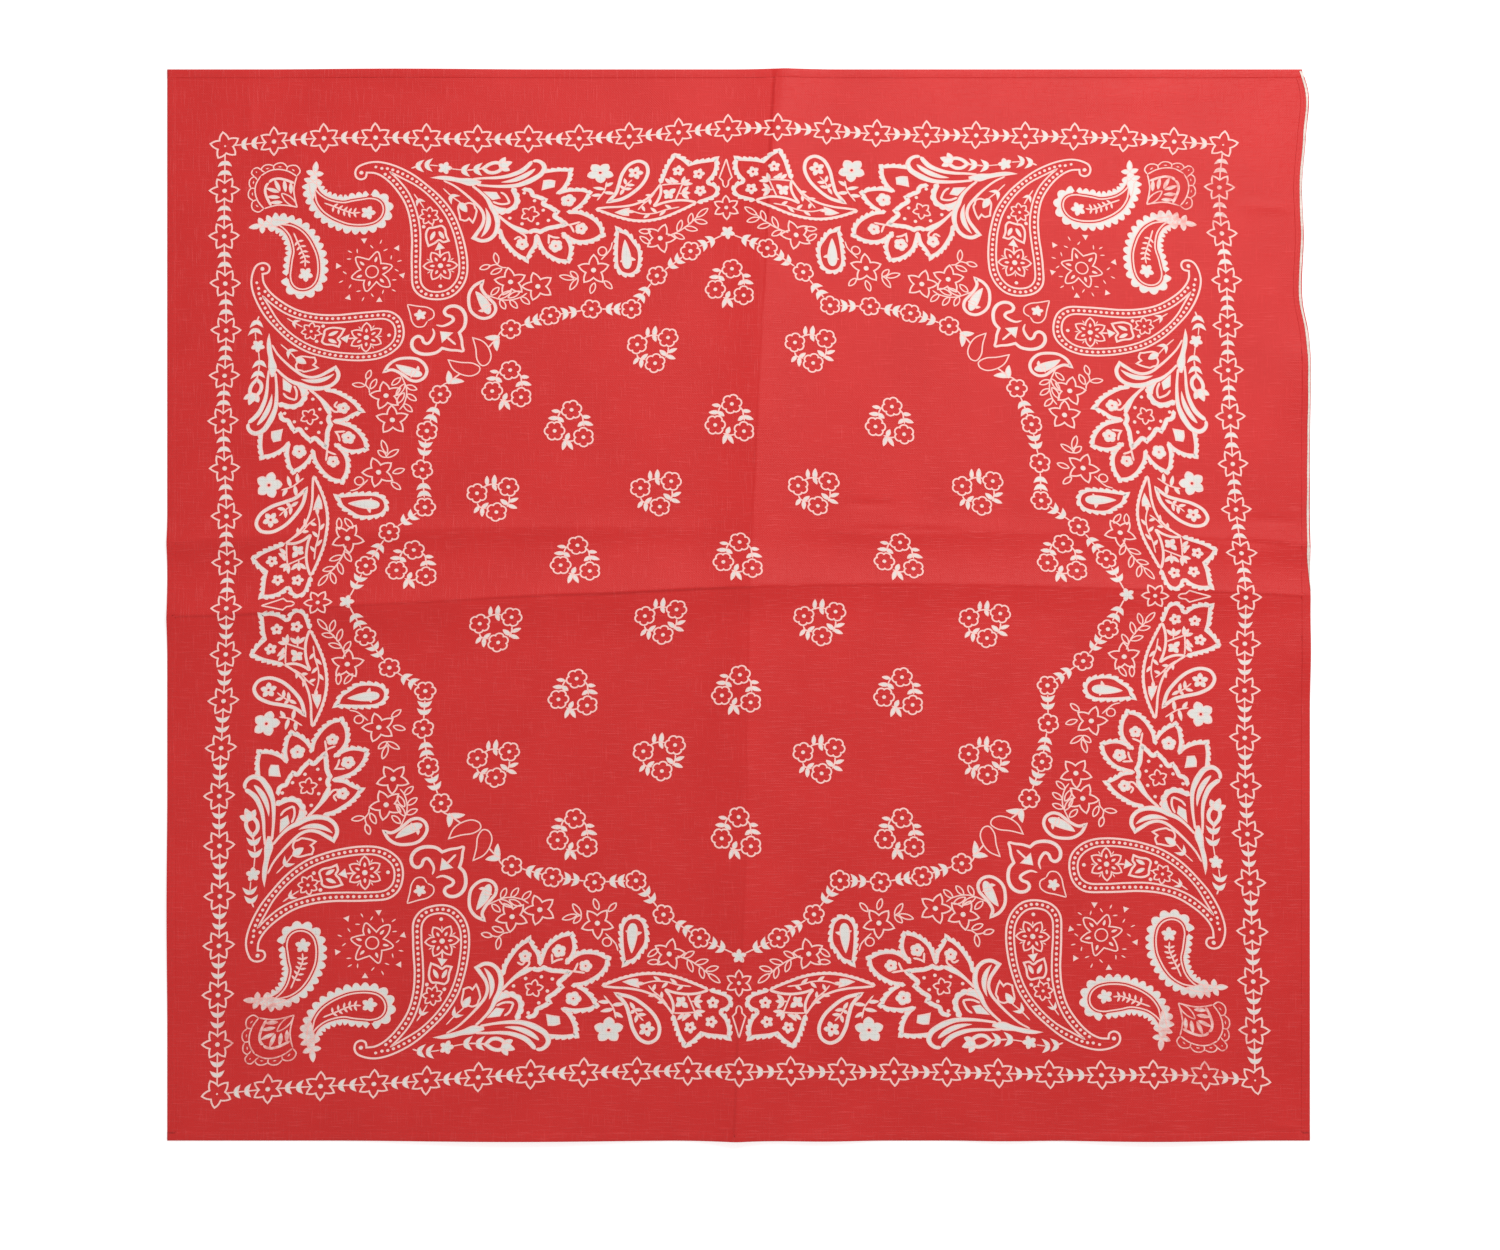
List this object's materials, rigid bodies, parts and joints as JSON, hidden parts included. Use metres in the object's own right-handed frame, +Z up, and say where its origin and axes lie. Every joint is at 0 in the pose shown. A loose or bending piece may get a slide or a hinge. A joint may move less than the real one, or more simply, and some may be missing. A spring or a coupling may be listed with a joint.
{
  "type": "bandana",
  "caption": "Square printed cotton bandana with narrow hems, opened out flat, with soft pressed folds and gently waved edges.",
  "frame": {"origin": "under the middle of the cloth, on the surface that it lies on", "axes": "+X to the right edge, along the longer side; +Y to the top edge; +Z up, away from the surface"},
  "size_m": [0.56, 0.525, 0.0068],
  "materials": {
    "red_cotton": "matt plain weave",
    "white_print": "matt ink in the weave",
    "red_thread": "fine twisted cotton",
    "pale_edge": "matt undyed cotton"
  },
  "bodies": {
    "root": {"panel": "red_cotton", "hem_top": "red_cotton", "hem_bottom": "red_cotton", "hem_left": "red_cotton", "hem_right": "red_cotton"}
  },
  "joints": []
}
